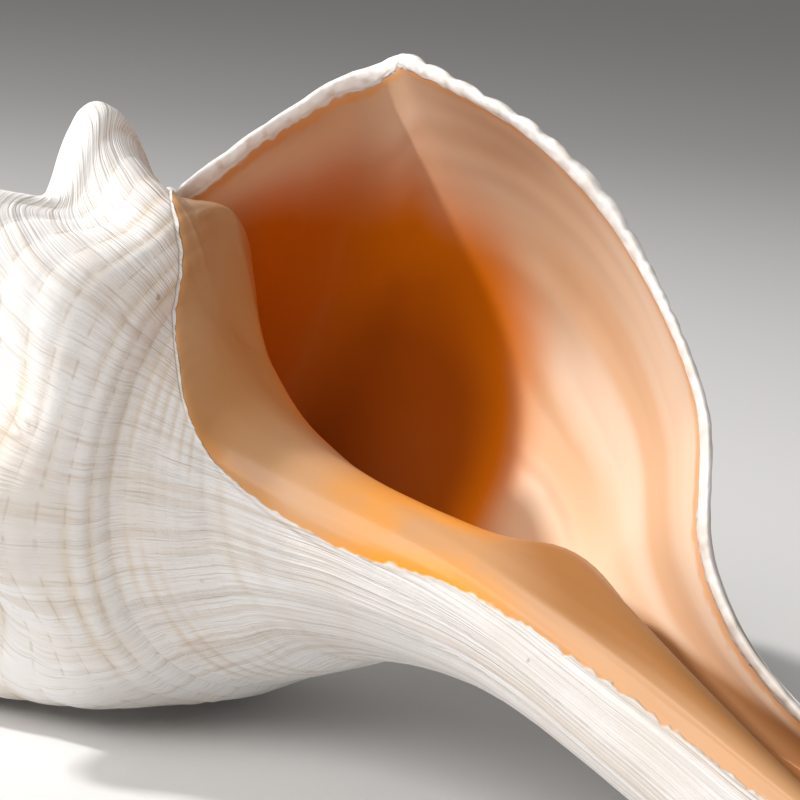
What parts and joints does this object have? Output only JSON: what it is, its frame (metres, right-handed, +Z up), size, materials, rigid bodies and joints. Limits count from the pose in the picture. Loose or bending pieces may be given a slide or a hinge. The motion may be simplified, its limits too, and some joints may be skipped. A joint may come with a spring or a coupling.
{
  "type": "knobbed whelk shell",
  "caption": "Knobbed whelk seashell lying with its mouth up: knobbed shoulder, wide flared body chamber with an orange lining and callus, and a long open canal.",
  "frame": {"origin": "middle of the footprint, on the surface that the shell lies on", "axes": "+Z up as the shell lies at rest, +X from the spire towards the tip of the canal, the mouth opening up and towards -Y"},
  "size_m": [0.194, 0.1244, 0.1072],
  "materials": {
    "shell": "chalky outside, satin orange lining"
  },
  "bodies": {
    "root": {"shell": "shell"}
  },
  "joints": []
}
